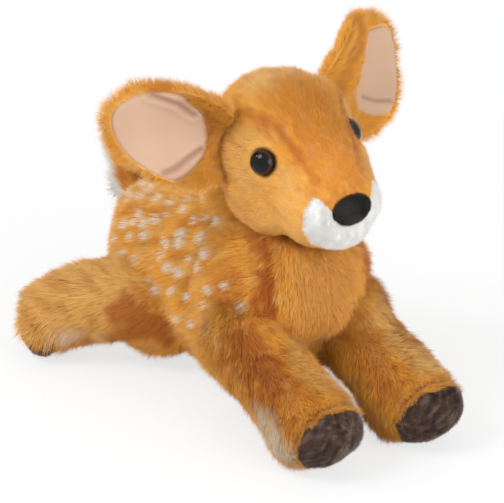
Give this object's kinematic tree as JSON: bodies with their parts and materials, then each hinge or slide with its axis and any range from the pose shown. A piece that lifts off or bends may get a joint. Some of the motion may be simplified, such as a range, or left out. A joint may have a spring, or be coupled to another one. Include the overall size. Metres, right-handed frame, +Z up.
{
  "type": "stuffed plush fawn",
  "caption": "Stuffed tawny plush fawn lying on its belly with white spots, cupped satin-lined ears, glossy eyes, white muzzle and dark hooves; head, legs, ears and tail give at their seams.",
  "frame": {"origin": "middle of the flat under the belly, on the surface that the fawn lies on", "axes": "+X towards the nose, +Y to the fawn's left, +Z up"},
  "size_m": [0.3336, 0.2374, 0.2606],
  "materials": {
    "tawny_plush": "short tawny pile fabric",
    "white_plush": "short white pile fabric",
    "dark_hoof_plush": "dark brown short pile fabric",
    "black_nose_plush": "black short pile fabric",
    "satin_lining": "smooth satin cloth",
    "eye_gloss": "polished dark plastic",
    "washer_plastic": "plain moulded plastic",
    "fibre_filling": "loose polyester fibre",
    "pellet_pouch": "cloth bag of plastic pellets"
  },
  "bodies": {
    "body": {"torso_skin": "tawny_plush", "torso_filling": "fibre_filling", "pellet_pouch": "pellet_pouch"},
    "head": {"head_skin": "tawny_plush", "head_filling": "fibre_filling", "muzzle_skin": "white_plush", "nose": "black_nose_plush", "eye_right": "eye_gloss", "eye_washer_right": "washer_plastic", "eye_left": "eye_gloss", "eye_washer_left": "washer_plastic"},
    "ear_right": {"ear_back_right": "tawny_plush", "ear_lining_right": "satin_lining"},
    "ear_left": {"ear_back_left": "tawny_plush", "ear_lining_left": "satin_lining"},
    "front_leg_right": {"front_leg_right_skin": "tawny_plush", "front_leg_right_filling": "fibre_filling", "front_hoof_right": "dark_hoof_plush"},
    "front_leg_left": {"front_leg_left_skin": "tawny_plush", "front_leg_left_filling": "fibre_filling", "front_hoof_left": "dark_hoof_plush"},
    "hind_leg_right": {"hind_leg_right_skin": "tawny_plush", "hind_leg_right_filling": "fibre_filling", "hind_hoof_right": "dark_hoof_plush"},
    "hind_leg_left": {"hind_leg_left_skin": "tawny_plush", "hind_leg_left_filling": "fibre_filling", "hind_hoof_left": "dark_hoof_plush"},
    "tail": {"tail_back": "white_plush", "tail_front": "tawny_plush"}
  },
  "joints": [
    {"name": "head_nod", "type": "hinge", "parent": "body", "child": "head", "pos_m": [0.02, 0, 0.176], "axis": [0, 1, 0], "range_deg": [-8, 10]},
    {"name": "ear_right_fold", "type": "hinge", "parent": "head", "child": "ear_right", "pos_m": [0.025, -0.038, 0.203], "axis": [0.1309, 0.2702, 0.9539], "range_deg": [-15, 15]},
    {"name": "ear_left_fold", "type": "hinge", "parent": "head", "child": "ear_left", "pos_m": [0.025, 0.038, 0.203], "axis": [-0.2023, -0.5589, 0.8042], "range_deg": [-15, 15]},
    {"name": "front_leg_right_swing", "type": "hinge", "parent": "body", "child": "front_leg_right", "pos_m": [0.035, -0.043, 0.061], "axis": [0, 1, 0], "range_deg": [-12, 12]},
    {"name": "front_leg_left_swing", "type": "hinge", "parent": "body", "child": "front_leg_left", "pos_m": [0.041, 0.038, 0.057], "axis": [0, 1, 0], "range_deg": [-12, 12]},
    {"name": "hind_leg_right_swing", "type": "hinge", "parent": "body", "child": "hind_leg_right", "pos_m": [-0.078, -0.04, 0.052], "axis": [0, 1, 0], "range_deg": [-12, 12]},
    {"name": "hind_leg_left_swing", "type": "hinge", "parent": "body", "child": "hind_leg_left", "pos_m": [-0.078, 0.04, 0.052], "axis": [0, 1, 0], "range_deg": [-12, 12]},
    {"name": "tail_lift", "type": "hinge", "parent": "body", "child": "tail", "pos_m": [-0.134, 0, 0.084], "axis": [0, 1, 0], "range_deg": [-15, 15]}
  ]
}
